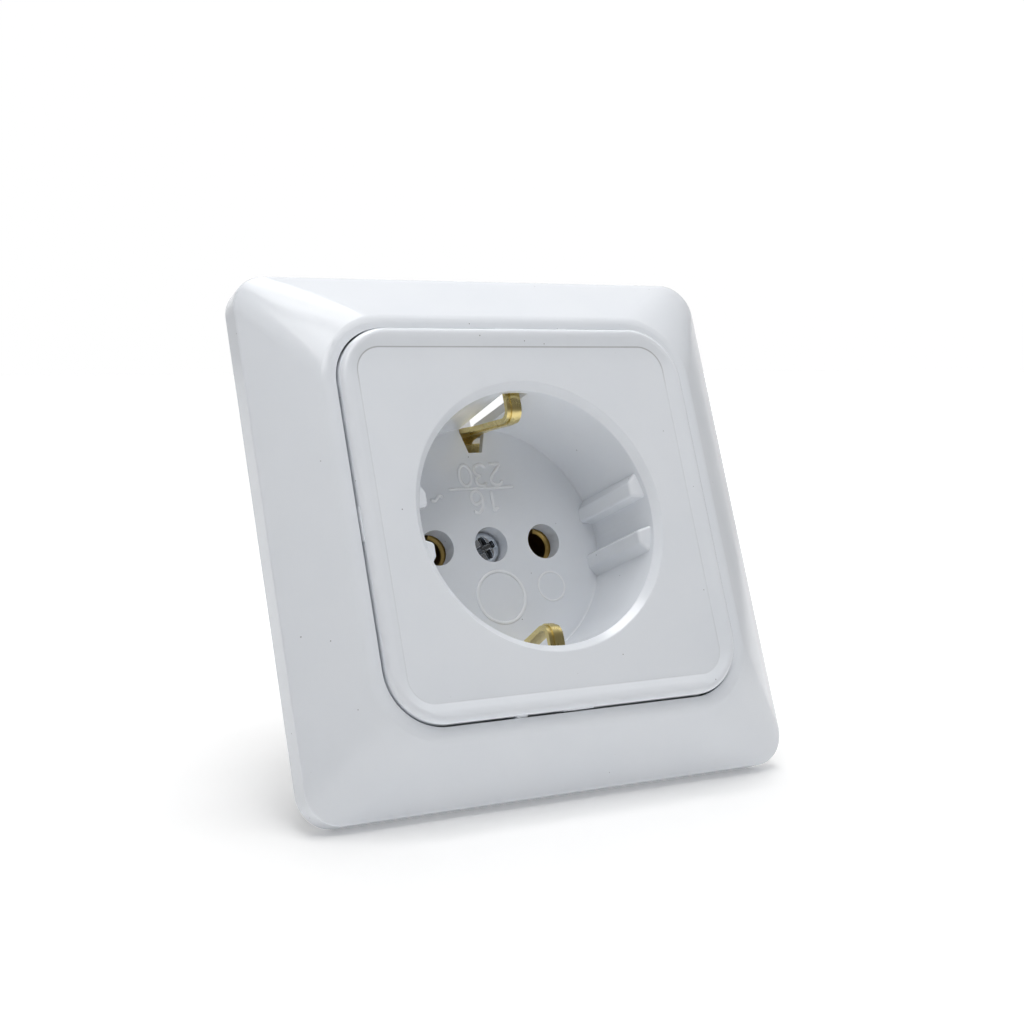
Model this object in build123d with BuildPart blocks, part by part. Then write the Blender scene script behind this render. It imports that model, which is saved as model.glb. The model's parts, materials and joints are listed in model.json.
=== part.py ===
"""Flush wall socket with side earth clips: frame, centre plate, mechanism and mounting plate.

Millimetres. X runs to the right and Z up along the wall, the room is on the -Y side, and Y = 0 is the wall.
A height is measured from the wall towards the room, a depth from the wall into the box behind it.
"""

import os

from build123d import *

# Outer frame
FRAME_SIZE = 81.0
FRAME_CORNER_R = 5.2
FRAME_SIDE_H = 3.9
FRAME_LIP_H = 11.3
FRAME_LIP_W = 1.6
FRAME_BULGE = 0.45
FRAME_WALL = 2.0
FRAME_EDGE_R = 0.6
FRAME_LIP_R = 2.6
OPENING_SIZE = 59.2
OPENING_R = 8.65
LEDGE_H = 7.6
LEDGE_T = 1.6
LEDGE_W = 2.6

# Centre plate
PANEL_H = 12.0
PANEL_T = 2.0
PLATE_GAP = 0.3
SKIRT_T = 1.6
BEAD_W = 2.95
BEAD_H = 0.65
BEAD_SLOPE_W = 1.5
BEAD_INNER_R = 4.0
BEAD_CROWN_R = 2.2
BEAD_EDGE_R = 0.9
EDGE_TAB_W = 4.9
EDGE_TAB_T = 0.12
EDGE_NIB_W = 1.6
EDGE_NIB_T = 0.25
EDGE_NIB_X = 9.4

# Well
WELL_R = 19.7
WELL_DEPTH = 17.6
WELL_DRAFT = 0.4
WELL_RIM_W = 1.1
WELL_RIM_R = 0.3
WELL_WALL = 1.2
WELL_FLOOR_T = 3.0
WELL_FOOT_R = 0.25
PIN_SPACING = 19.0
PIN_HOLE_R = 2.85

# Guide ribs in the well
RIB_RISE = 2.3
RIB_CREST_Z = 2.75
RIB_CREST_W = 2.1
RIB_INNER_Z = 2.0
RIB_OUTER_Z = 6.7
RIB_OUTER_RISE = 0.8
RIB_ROOT = 0.8
RIB_LEAN = 0.5
RIB_END = 1.5
RIB_BEVEL = 1.1
RIB_CREST_R = 0.6
RIB_END_R = 0.5

# Centre screw
SCREW_SUNK = 2.0
SCREW_R = 1.5
SCREW_L = 11.0
SCREW_HEAD_R = 2.6
SCREW_HEAD_H = 1.9
SCREW_HEAD_ROUND = 0.8
SCREW_RECESS_R = 2.85
SCREW_BOSS_R = 4.5
SCREW_SEAT_T = 1.5
CROSS_L = 3.2
CROSS_W = 0.8
CROSS_D = 1.1
THREAD_CLEAR = 0.1
HOLE_CLEAR = 0.2

# Earth strap and its clips
CLIP_T = 0.8
CLIP_W = 2.5
CLIP_FOOT_W = 4.2
CLIP_NOSE_Z = 15.4
CLIP_LIP_DROP = 2.9
CLIP_LIP_REACH = 1.2
CLIP_BEND_R = 2.1
CLIP_WALL_GAP = 0.95
CLIP_BEAD_W = 1.1
CLIP_BEAD_H = 0.25
EARTH_SLOT_W = 4.4
EARTH_SLOT_TIP_W = 2.4
EARTH_SLOT_L = 3.4
EARTH_SLOT_WALL_GAP = 0.75
EARTH_SLOT_DROP = 2.0
EARTH_POCKET_W = 10.0
EARTH_POCKET_L = 6.0
EARTH_POCKET_D = 1.8
BRIDGE_W = 8.0
BRIDGE_END_W = 11.0
BRIDGE_END_L = 7.0
BEND_RELIEF = 0.3
EARTH_TAB_W = 6.0
EARTH_TAB_BEND_R = 1.5
EARTH_TAB_GAP = 0.9

# Screw bush
BUSH_R = 3.2
BUSH_L = 6.0
BUSH_SPIGOT_R = 2.2

# Pin contacts
TULIP_R = 3.2
TULIP_T = 0.75
TULIP_L = 12.0
TULIP_SETBACK = 0.6
TULIP_SLIT_W = 1.0
TULIP_SLIT_L = 8.6
TULIP_FLARE = 0.4
CONTACT_T = 0.8
CONTACT_W = 6.0
CONTACT_HEAD_Z = 3.2
RING_T = 0.7
RING_W = 3.0
RING_GAP = 1.2
RING_D = 3.2
RING_CLEAR = 0.1

# Terminals
TERMINAL_CLEAR = 0.9
TERMINAL_END = 6.0
NUT_SIZE = 8.0
NUT_T = 2.6
NUT_CHAMFER = 0.6
CLAMP_SIZE = 8.4
CLAMP_T = 1.2
CLAMP_CORNER_R = 1.0
CLAMP_GROOVE_R = 0.9
TERMINAL_SCREW_R = 1.7
TERMINAL_SCREW_TIP = 1.0
TERMINAL_HEAD_R = 3.0
TERMINAL_HEAD_H = 2.2
TERMINAL_HEAD_EDGE = 0.5
TERMINAL_SLOT_W = 0.9
TERMINAL_SLOT_D = 1.1

# Base block
BASE_W = 41.0
BASE_H = 52.0
BASE_R = 10.0
BASE_DEPTH = 38.0
BASE_BACK_T = 3.6
BASE_WALL = 1.6
FRONT_WALL_T = 2.0
FLANGE_T = 2.5
COLLAR_CLEAR = 1.1
COLLAR_T = 2.0
COLLAR_WINDOW = 18.0
CLIP_WINDOW = 23.5
BASE_TOP_EDGE = 1.85
CHAMBER_W = 9.4
TULIP_CHAMBER_W = 9.4
TULIP_HOLE_CLEAR = 0.6
CHANNEL_CLEAR = 0.3
SHROUD_EDGE = 0.8
COVER_T = 1.4
COVER_R = 2.0
COVER_CLEAR = 0.5
COVER_SCREW_R = 1.2
COVER_SCREW_L = 6.0
COVER_HEAD_R = 2.3
COVER_HEAD_H = 1.2
COVER_HEAD_EDGE = 0.4
COVER_SLOT_W = 0.7
WIRE_HOLE_R = 1.6

# Support plate and rivets
PLATE_CORNER_R = 9.0
PLATE_T = 1.0
PLATE_BORE_CLEAR = 0.7
PLATE_NOTCH_R = 24.8
PLATE_NOTCH_W = 9.0
BOX_SCREW_SPACING = 60.0
BOX_SLOT_L = 6.0
BOX_SLOT_R = 1.9
BOX_SLOT_EDGE = 1.0
CORNER_HOLE_EDGE = 6.5
CORNER_HOLE_R = 1.7
RIVET_R = 1.5
RIVET_HEAD_R = 2.6
RIVET_HEAD_H = 0.8
RIVET_L = 8.0
RIVET_BOSS_R = 3.0
RIVET_BOSS_GAP = 0.2
STRAP_RIVET_GAP = 0.5

# Sizes that follow
lip_size = OPENING_SIZE + 2 * FRAME_LIP_W
lip_r = OPENING_R + FRAME_LIP_W
plate_size = OPENING_SIZE - 2 * PLATE_GAP
plate_r = OPENING_R - PLATE_GAP
recess_size = plate_size - 2 * BEAD_W
well_floor_r = WELL_R - WELL_DRAFT
cup_r = WELL_R + WELL_WALL
floor_depth = WELL_DEPTH - PANEL_H
floor_back = floor_depth + WELL_FLOOR_T
head_top = floor_depth + SCREW_SUNK
head_seat = head_top + SCREW_HEAD_H
bridge_depth = head_seat + SCREW_SEAT_T
base_front = bridge_depth + CLIP_T
clip_root_z = well_floor_r - CLIP_WALL_GAP
clip_lip_h = PANEL_H - CLIP_LIP_DROP
tulip_mouth = floor_back + TULIP_SETBACK
strip_front = tulip_mouth + TULIP_L
strip_back = strip_front + CONTACT_T
nut_seat = strip_front - NUT_T
clamp_back = strip_back + CLAMP_T
terminal_tip = nut_seat - TERMINAL_SCREW_TIP
base_back = strip_back + BASE_BACK_T
collar_in_r = cup_r + COLLAR_CLEAR
collar_out_r = collar_in_r + COLLAR_T
rivet_circle_r = collar_in_r + RIVET_BOSS_GAP + RIVET_BOSS_R
terminal_reach = BASE_H / 2 - BASE_WALL - TERMINAL_CLEAR
terminal_z = terminal_reach - TERMINAL_END
groove_spacing = CLAMP_SIZE - 2 * CLAMP_GROOVE_R
wire_depth = strip_back + CLAMP_GROOVE_R / 2
strap_rivet_z = SCREW_BOSS_R + STRAP_RIVET_GAP + RIVET_HEAD_R
earth_tab_z = strap_rivet_z + RIVET_R + EARTH_TAB_GAP
pin_x = PIN_SPACING / 2
cover_screw_x = (BASE_W / 2 + pin_x + TULIP_CHAMBER_W / 2) / 2
support_size = BOX_SCREW_SPACING + BOX_SLOT_L + 2 * BOX_SLOT_EDGE
corner_hole_pitch = support_size - 2 * CORNER_HOLE_EDGE


def at_height(height):
    """Sketch plane in front of the wall, facing the room: its x is X and its y is Z."""
    return Plane.XZ.offset(height)


def at_depth(depth):
    """Sketch plane behind the wall, facing the room."""
    return Plane.XZ.offset(-depth)


# Outer frame: upright sides, a bulged slope up to a flat lip, hollow behind, with a ledge for the centre plate
frame_mid_h = (FRAME_SIDE_H + FRAME_LIP_H) / 2
frame_mid_size = (FRAME_SIZE + lip_size) / 2 + 2 * FRAME_BULGE
frame_mid_r = (FRAME_CORNER_R + lip_r) / 2
cavity_size = FRAME_SIZE - 2 * FRAME_WALL
cavity_r = FRAME_CORNER_R - FRAME_WALL
throat_size = OPENING_SIZE - 2 * LEDGE_W

with BuildPart() as outer_frame:
    with BuildSketch(at_height(0)):
        RectangleRounded(FRAME_SIZE, FRAME_SIZE, FRAME_CORNER_R)
    extrude(amount=FRAME_SIDE_H)
    for height, size, radius in (
        (FRAME_SIDE_H, FRAME_SIZE, FRAME_CORNER_R),
        (frame_mid_h, frame_mid_size, frame_mid_r),
        (FRAME_LIP_H, lip_size, lip_r),
    ):
        with BuildSketch(at_height(height)):
            RectangleRounded(size, size, radius)
    loft()
    fillet(outer_frame.faces().sort_by(Axis.Y)[0].edges(), FRAME_LIP_R)
    crease = outer_frame.edges().filter_by_position(Axis.Y, -FRAME_SIDE_H, -FRAME_SIDE_H)
    fillet(crease, FRAME_EDGE_R)
    with BuildSketch(at_height(0)):
        RectangleRounded(cavity_size, cavity_size, cavity_r)
    extrude(amount=FRAME_SIDE_H - FRAME_WALL / 2, mode=Mode.SUBTRACT)
    for height, size, radius in (
        (FRAME_SIDE_H - FRAME_WALL / 2, cavity_size, cavity_r),
        (FRAME_LIP_H - FRAME_WALL, lip_size, lip_r),
    ):
        with BuildSketch(at_height(height)):
            RectangleRounded(size, size, radius)
    loft(mode=Mode.SUBTRACT)
    with BuildSketch(at_height(LEDGE_H - LEDGE_T)):
        RectangleRounded(lip_size, lip_size, lip_r)
    extrude(amount=FRAME_LIP_H - FRAME_WALL / 2 - LEDGE_H + LEDGE_T)
    with BuildSketch(at_height(LEDGE_H)):
        RectangleRounded(OPENING_SIZE, OPENING_SIZE, OPENING_R)
    extrude(amount=FRAME_LIP_H, mode=Mode.SUBTRACT)
    with BuildSketch(at_height(0)):
        RectangleRounded(throat_size, throat_size, OPENING_R - LEDGE_W)
    extrude(amount=FRAME_LIP_H, mode=Mode.SUBTRACT)
outer_frame.part.label = "outer_frame"

# Guide rib: a flat-crested tooth up the well wall, leaning outward, its front end bevelled
rib_crest_x = well_floor_r - RIB_RISE
rib_root_x = well_floor_r + RIB_ROOT
rib_front_h = PANEL_H - RIB_END
rib_run = Vector(RIB_LEAN, -floor_depth - rib_front_h, 0)
with BuildPart() as guide_rib:
    with BuildSketch(at_depth(floor_depth)) as rib_section:
        with BuildLine():
            Polyline(
                (rib_root_x, RIB_INNER_Z),
                (rib_crest_x, RIB_CREST_Z),
                (rib_crest_x, RIB_CREST_Z + RIB_CREST_W),
                (well_floor_r - RIB_OUTER_RISE, RIB_OUTER_Z),
                (rib_root_x, RIB_OUTER_Z),
                close=True,
            )
        make_face()
        fillet(rib_section.vertices().group_by(Axis.X)[0], RIB_CREST_R)
    extrude(amount=rib_run.length, dir=rib_run.normalized())
    with BuildSketch(at_depth(floor_depth)):
        Circle(WELL_R + WELL_WALL / 2)
    extrude(amount=floor_depth + rib_front_h, mode=Mode.INTERSECT)
    with BuildSketch(Plane.XY):
        with BuildLine():
            Polyline(
                (rib_crest_x, floor_depth),
                (rib_crest_x, RIB_BEVEL - rib_front_h),
                (cup_r, -rib_front_h),
                (cup_r, floor_depth),
                close=True,
            )
        make_face()
    extrude(amount=RIB_OUTER_Z, mode=Mode.INTERSECT)
    fillet(guide_rib.faces().sort_by(Axis.Y)[0].edges().sort_by(Axis.X)[0], RIB_END_R)

# Centre plate: skirt and panel with an edge bead, the well cup, ribs, pin holes and earth slots
panel_inner = plate_size - 2 * SKIRT_T
bead_top_h = PANEL_H + BEAD_H
crown_size = recess_size + 2 * BEAD_SLOPE_W
slot_shoulder_z = well_floor_r - EARTH_SLOT_WALL_GAP
rim_out_r = WELL_R + 2 * WELL_RIM_W
with BuildPart() as centre_plate:
    with BuildSketch(at_height(LEDGE_H)):
        RectangleRounded(plate_size, plate_size, plate_r)
    extrude(amount=bead_top_h - LEDGE_H)
    for height, size, radius in (
        (bead_top_h, crown_size, BEAD_INNER_R + BEAD_SLOPE_W),
        (PANEL_H, recess_size, BEAD_INNER_R),
    ):
        with BuildSketch(at_height(height)):
            RectangleRounded(size, size, radius)
    loft(ruled=True, mode=Mode.SUBTRACT)
    bead_top = centre_plate.faces().sort_by(Axis.Y)[0]
    fillet(bead_top.inner_wires()[0].edges(), BEAD_CROWN_R)
    bead_top = centre_plate.faces().filter_by(Plane.XZ).sort_by(Axis.Y)[0]
    fillet(bead_top.outer_wire().edges(), BEAD_EDGE_R)
    with BuildSketch(at_height(LEDGE_H)):
        RectangleRounded(panel_inner, panel_inner, plate_r - SKIRT_T)
    extrude(amount=PANEL_H - PANEL_T - LEDGE_H, mode=Mode.SUBTRACT)
    with BuildSketch(at_height(LEDGE_H)):
        with PolarLocations(plate_size / 2, 4):
            Rectangle(2 * EDGE_TAB_T, EDGE_TAB_W)
        with Locations((-EDGE_NIB_X, -plate_size / 2), (EDGE_NIB_X, plate_size / 2)):
            Rectangle(EDGE_NIB_W, 2 * EDGE_NIB_T)
    extrude(amount=PANEL_H - BEAD_EDGE_R + BEAD_H - LEDGE_H)
    with BuildSketch(at_height(PANEL_H - PANEL_T / 2)):
        Circle(cup_r)
    extrude(amount=-(PANEL_H - PANEL_T / 2 + floor_back))
    with BuildSketch(at_depth(floor_back)):
        Circle(SCREW_BOSS_R)
    extrude(amount=floor_back - bridge_depth)
    with BuildSketch(Plane.XY):
        with BuildLine():
            Line((0, -bead_top_h), (rim_out_r, -bead_top_h))
            Line((rim_out_r, -bead_top_h), (rim_out_r, -PANEL_H))
            FilletPolyline(
                (rim_out_r, -PANEL_H),
                (WELL_R + WELL_RIM_W, -PANEL_H),
                (WELL_R, WELL_RIM_W - PANEL_H),
                (well_floor_r, floor_depth - WELL_FOOT_R),
                radius=WELL_RIM_R,
            )
            RadiusArc(
                (well_floor_r, floor_depth - WELL_FOOT_R),
                (well_floor_r - WELL_FOOT_R, floor_depth),
                -WELL_FOOT_R,
            )
            Line((well_floor_r - WELL_FOOT_R, floor_depth), (0, floor_depth))
            Line((0, floor_depth), (0, -bead_top_h))
        make_face()
    revolve(axis=Axis.Y, mode=Mode.SUBTRACT)
    add(guide_rib.part)
    mirror(guide_rib.part, about=Plane.YZ)
    mirror(guide_rib.part, about=Plane.XY)
    add(guide_rib.part.rotate(Axis.Y, 180))
    with BuildSketch(at_depth(floor_depth)):
        with GridLocations(PIN_SPACING, 0, 2, 1):
            Circle(PIN_HOLE_R)
    extrude(amount=-WELL_FLOOR_T, mode=Mode.SUBTRACT)
    with BuildSketch(at_depth(floor_depth)):
        Circle(SCREW_RECESS_R)
    extrude(amount=floor_depth - head_seat, mode=Mode.SUBTRACT)
    with BuildSketch(at_depth(head_seat)):
        Circle(SCREW_R + HOLE_CLEAR)
    extrude(amount=-SCREW_SEAT_T, mode=Mode.SUBTRACT)
    with BuildSketch(at_depth(floor_back)):
        with BuildLine():
            Polyline(
                (-EARTH_SLOT_TIP_W / 2, slot_shoulder_z - EARTH_SLOT_L),
                (EARTH_SLOT_TIP_W / 2, slot_shoulder_z - EARTH_SLOT_L),
                (EARTH_SLOT_W / 2, slot_shoulder_z),
                (EARTH_SLOT_W / 2, cup_r + WELL_WALL),
                (-EARTH_SLOT_W / 2, cup_r + WELL_WALL),
                (-EARTH_SLOT_W / 2, slot_shoulder_z),
                close=True,
            )
        make_face()
        mirror(about=Plane.XZ)
    extrude(amount=floor_back + PANEL_H - EARTH_SLOT_DROP, mode=Mode.SUBTRACT)
    with BuildSketch(at_depth(floor_back)):
        with GridLocations(0, 2 * slot_shoulder_z - EARTH_POCKET_L, 1, 2):
            Rectangle(EARTH_POCKET_W, EARTH_POCKET_L)
    extrude(amount=EARTH_POCKET_D, mode=Mode.SUBTRACT)
centre_plate.part.label = "centre_plate"

# Centre screw: pan head with a cross recess
with BuildPart() as centre_screw:
    with BuildSketch(at_depth(head_seat)):
        Circle(SCREW_HEAD_R)
    extrude(amount=SCREW_HEAD_H)
    fillet(centre_screw.faces().sort_by(Axis.Y)[0].edges(), SCREW_HEAD_ROUND)
    with BuildSketch(at_depth(head_top)):
        with PolarLocations(0, 2, angular_range=180):
            Rectangle(CROSS_L, CROSS_W)
    extrude(amount=-CROSS_D, mode=Mode.SUBTRACT)
    with BuildSketch(at_depth(head_seat)):
        Circle(SCREW_R)
    extrude(amount=-SCREW_L)
centre_screw.part.label = "centre_screw"

# Earth strap: one strip, bent at both ends into a clip with a raised bead, and a tab bent back to its terminal
clip_tip_z = cup_r + CLIP_LIP_REACH
clip_points = [
    (-clip_lip_h, clip_tip_z),
    (-clip_lip_h, CLIP_NOSE_Z),
    (floor_depth, clip_root_z),
    (bridge_depth, clip_root_z),
]
mirrored_points = [(depth, -z) for depth, z in reversed(clip_points)]
with BuildPart() as earth_strap:
    with BuildSketch(Plane.YZ):
        with BuildLine():
            FilletPolyline(*clip_points, *mirrored_points, radius=CLIP_BEND_R)
            offset(amount=CLIP_T, side=Side.LEFT)
        make_face()
    extrude(amount=BRIDGE_W / 2, both=True)
    with BuildSketch(Plane.XY):
        with BuildLine():
            Polyline(
                (CLIP_W / 2, -clip_lip_h - CLIP_T),
                (CLIP_W / 2, floor_depth - CLIP_FOOT_W),
                (CLIP_FOOT_W / 2, floor_depth - CLIP_W / 2),
                (CLIP_FOOT_W / 2, bridge_depth),
                (BRIDGE_W / 2, bridge_depth),
                (BRIDGE_W / 2, base_front),
                (0, base_front),
                (0, -clip_lip_h - CLIP_T),
                close=True,
            )
        make_face()
        mirror(about=Plane.YZ)
    extrude(amount=clip_tip_z, both=True, mode=Mode.INTERSECT)
    with BuildSketch(Plane.YZ):
        with BuildLine():
            FilletPolyline(*clip_points[:3], radius=CLIP_BEND_R)
            offset(amount=CLIP_BEAD_H, side=Side.RIGHT)
        make_face()
        mirror(about=Plane.XZ)
    extrude(amount=CLIP_BEAD_W / 2, both=True)
    with BuildSketch(Plane.YZ):
        with BuildLine():
            FilletPolyline(
                (bridge_depth, earth_tab_z),
                (strip_back, earth_tab_z),
                (strip_back, terminal_reach),
                radius=EARTH_TAB_BEND_R,
            )
            offset(amount=CONTACT_T, side=Side.LEFT)
        make_face()
    extrude(amount=EARTH_TAB_W / 2, both=True)
    with BuildSketch(at_depth(bridge_depth)):
        with GridLocations(0, 2 * clip_root_z - BRIDGE_END_L, 1, 2):
            Rectangle(BRIDGE_END_W, BRIDGE_END_L)
        with GridLocations(0, 2 * clip_root_z - CLIP_BEND_R, 1, 2):
            Rectangle(CLIP_FOOT_W + 2 * BEND_RELIEF, CLIP_BEND_R, mode=Mode.SUBTRACT)
    extrude(amount=-CLIP_T)
    with BuildSketch(at_depth(bridge_depth)):
        Circle(BUSH_SPIGOT_R + RING_CLEAR)
        with GridLocations(0, 2 * strap_rivet_z, 1, 2):
            Circle(RIVET_R + THREAD_CLEAR)
    extrude(amount=-CLIP_T, mode=Mode.SUBTRACT)
    with BuildSketch(at_depth(strip_back)):
        with Locations((0, terminal_z)):
            Circle(TERMINAL_SCREW_R + HOLE_CLEAR)
    extrude(amount=CONTACT_T, mode=Mode.SUBTRACT)
earth_strap.part.label = "earth_strap"

# Screw bush: threaded for the centre screw, its spigot set in the bridge of the earth strap
with BuildPart() as screw_bush:
    with BuildSketch(at_depth(base_front)):
        Circle(BUSH_R)
    extrude(amount=-BUSH_L)
    with BuildSketch(at_depth(bridge_depth)):
        Circle(BUSH_SPIGOT_R)
    extrude(amount=bridge_depth - base_front)
    with BuildSketch(at_depth(bridge_depth)):
        Circle(SCREW_R + THREAD_CLEAR)
    extrude(amount=-(BUSH_L + CLIP_T), mode=Mode.SUBTRACT)
screw_bush.part.label = "screw_bush"

# Pin contacts: a slit tube with a flared mouth on a strip that runs down to its terminal
contacts = {}
contact_rings = {}
for side, x in (("left", -pin_x), ("right", pin_x)):
    with BuildPart() as pin_contact:
        with BuildSketch(at_depth(strip_back)):
            with Locations((x, (CONTACT_HEAD_Z - terminal_reach) / 2)):
                Rectangle(CONTACT_W, CONTACT_HEAD_Z + terminal_reach)
            with Locations((x, -terminal_z)):
                Circle(TERMINAL_SCREW_R + HOLE_CLEAR, mode=Mode.SUBTRACT)
            with Locations((x, 0)):
                Circle(TULIP_R - TULIP_T, mode=Mode.SUBTRACT)
        extrude(amount=CONTACT_T)
        with BuildSketch(at_depth(strip_front)):
            with Locations((x, 0)):
                Circle(TULIP_R)
                Circle(TULIP_R - TULIP_T, mode=Mode.SUBTRACT)
        extrude(amount=TULIP_L)
        mouth = pin_contact.faces().sort_by(Axis.Y)[0]
        chamfer(mouth.inner_wires()[0].edges(), TULIP_FLARE)
        with BuildSketch(at_depth(tulip_mouth)):
            with Locations((x, 0)):
                Rectangle(TULIP_SLIT_W, 2 * TULIP_R)
        extrude(amount=-TULIP_SLIT_L, mode=Mode.SUBTRACT)
    pin_contact.part.label = f"contact_{side}"
    contacts[side] = pin_contact

    # Spring ring: keeps the slit tube tight on its pin
    ring_in_r = TULIP_R + RING_CLEAR
    with BuildPart() as contact_ring:
        with BuildSketch(at_depth(base_front + RING_D)):
            with Locations((x, 0)):
                Circle(ring_in_r + RING_T)
                Circle(ring_in_r, mode=Mode.SUBTRACT)
            with Locations((x, ring_in_r)):
                Rectangle(RING_GAP, 2 * RING_T + RING_CLEAR, mode=Mode.SUBTRACT)
        extrude(amount=-RING_W)
    contact_ring.part.label = f"contact_spring_{side}"
    contact_rings[side] = contact_ring

# Terminals: a square nut in front of the strip, a grooved clamp plate and a slotted screw behind it
terminal_places = {
    "left": (-pin_x, -terminal_z),
    "right": (pin_x, -terminal_z),
    "earth": (0, terminal_z),
}
terminals = []
for side, place in terminal_places.items():
    with BuildPart() as terminal_nut:
        with BuildSketch(at_depth(nut_seat)):
            with Locations(place):
                square = Rectangle(NUT_SIZE, NUT_SIZE)
                chamfer(square.vertices(), NUT_CHAMFER)
                Circle(TERMINAL_SCREW_R + THREAD_CLEAR, mode=Mode.SUBTRACT)
        extrude(amount=-NUT_T)
    terminal_nut.part.label = f"terminal_nut_{side}"

    with BuildPart() as terminal_clamp:
        with BuildSketch(at_depth(strip_back)):
            with Locations(place):
                RectangleRounded(CLAMP_SIZE, CLAMP_SIZE, CLAMP_CORNER_R)
                Circle(TERMINAL_SCREW_R + HOLE_CLEAR, mode=Mode.SUBTRACT)
        extrude(amount=-CLAMP_T)
        groove_z = place[1] - CLAMP_SIZE / 2
        with BuildSketch(Plane.XY.offset(groove_z)):
            with Locations((place[0], strip_back)):
                with GridLocations(groove_spacing, 0, 2, 1):
                    Circle(CLAMP_GROOVE_R)
        extrude(amount=CLAMP_SIZE, mode=Mode.SUBTRACT)
    terminal_clamp.part.label = f"terminal_clamp_{side}"

    with BuildPart() as terminal_screw:
        with BuildSketch(at_depth(clamp_back)):
            with Locations(place):
                Circle(TERMINAL_HEAD_R)
        extrude(amount=-TERMINAL_HEAD_H)
        head_face = terminal_screw.faces().sort_by(Axis.Y)[-1]
        chamfer(head_face.edges(), TERMINAL_HEAD_EDGE)
        with BuildSketch(at_depth(clamp_back + TERMINAL_HEAD_H)):
            with Locations(place):
                Rectangle(2 * TERMINAL_HEAD_R, TERMINAL_SLOT_W)
        extrude(amount=TERMINAL_SLOT_D, mode=Mode.SUBTRACT)
        with BuildSketch(at_depth(clamp_back)):
            with Locations(place):
                Circle(TERMINAL_SCREW_R)
        extrude(amount=clamp_back - terminal_tip)
    terminal_screw.part.label = f"terminal_screw_{side}"
    terminals += [terminal_nut, terminal_clamp, terminal_screw]

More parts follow.
